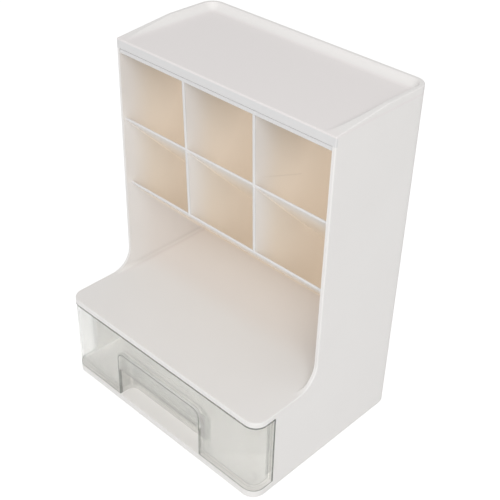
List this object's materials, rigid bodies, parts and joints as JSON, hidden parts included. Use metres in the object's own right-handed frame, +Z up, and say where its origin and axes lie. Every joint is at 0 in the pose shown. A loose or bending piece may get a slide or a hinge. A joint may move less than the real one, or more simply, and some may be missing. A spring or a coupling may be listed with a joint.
{
  "type": "brush holder with drawer",
  "caption": "Desktop brush holder: L-shaped shell with sloping cells over an open shelf, a rimmed tray on top and a clear sliding drawer below.",
  "frame": {"origin": "on the surface it stands on, under the middle of the base", "axes": "+X to the right seen from the front, +Y from the drawer front to the back, +Z up"},
  "size_m": [0.18, 0.138, 0.2446],
  "materials": {
    "white_shell": "white moulded plastic, satin gloss",
    "white_divider": "white moulded plastic, satin gloss",
    "clear_drawer": "clear polished plastic with a faint green-grey tint",
    "pad": "soft translucent grey anti-slip pad"
  },
  "bodies": {
    "holder": {"shell": "white_shell", "divider": "white_divider", "foot_pad_front_left": "pad", "foot_pad_front_right": "pad", "foot_pad_back_left": "pad", "foot_pad_back_right": "pad"},
    "drawer": {"drawer": "clear_drawer"}
  },
  "joints": [
    {"name": "drawer_slide", "type": "slide", "parent": "holder", "child": "drawer", "axis": [0, -1, 0], "range_m": [0, 0.1]}
  ]
}
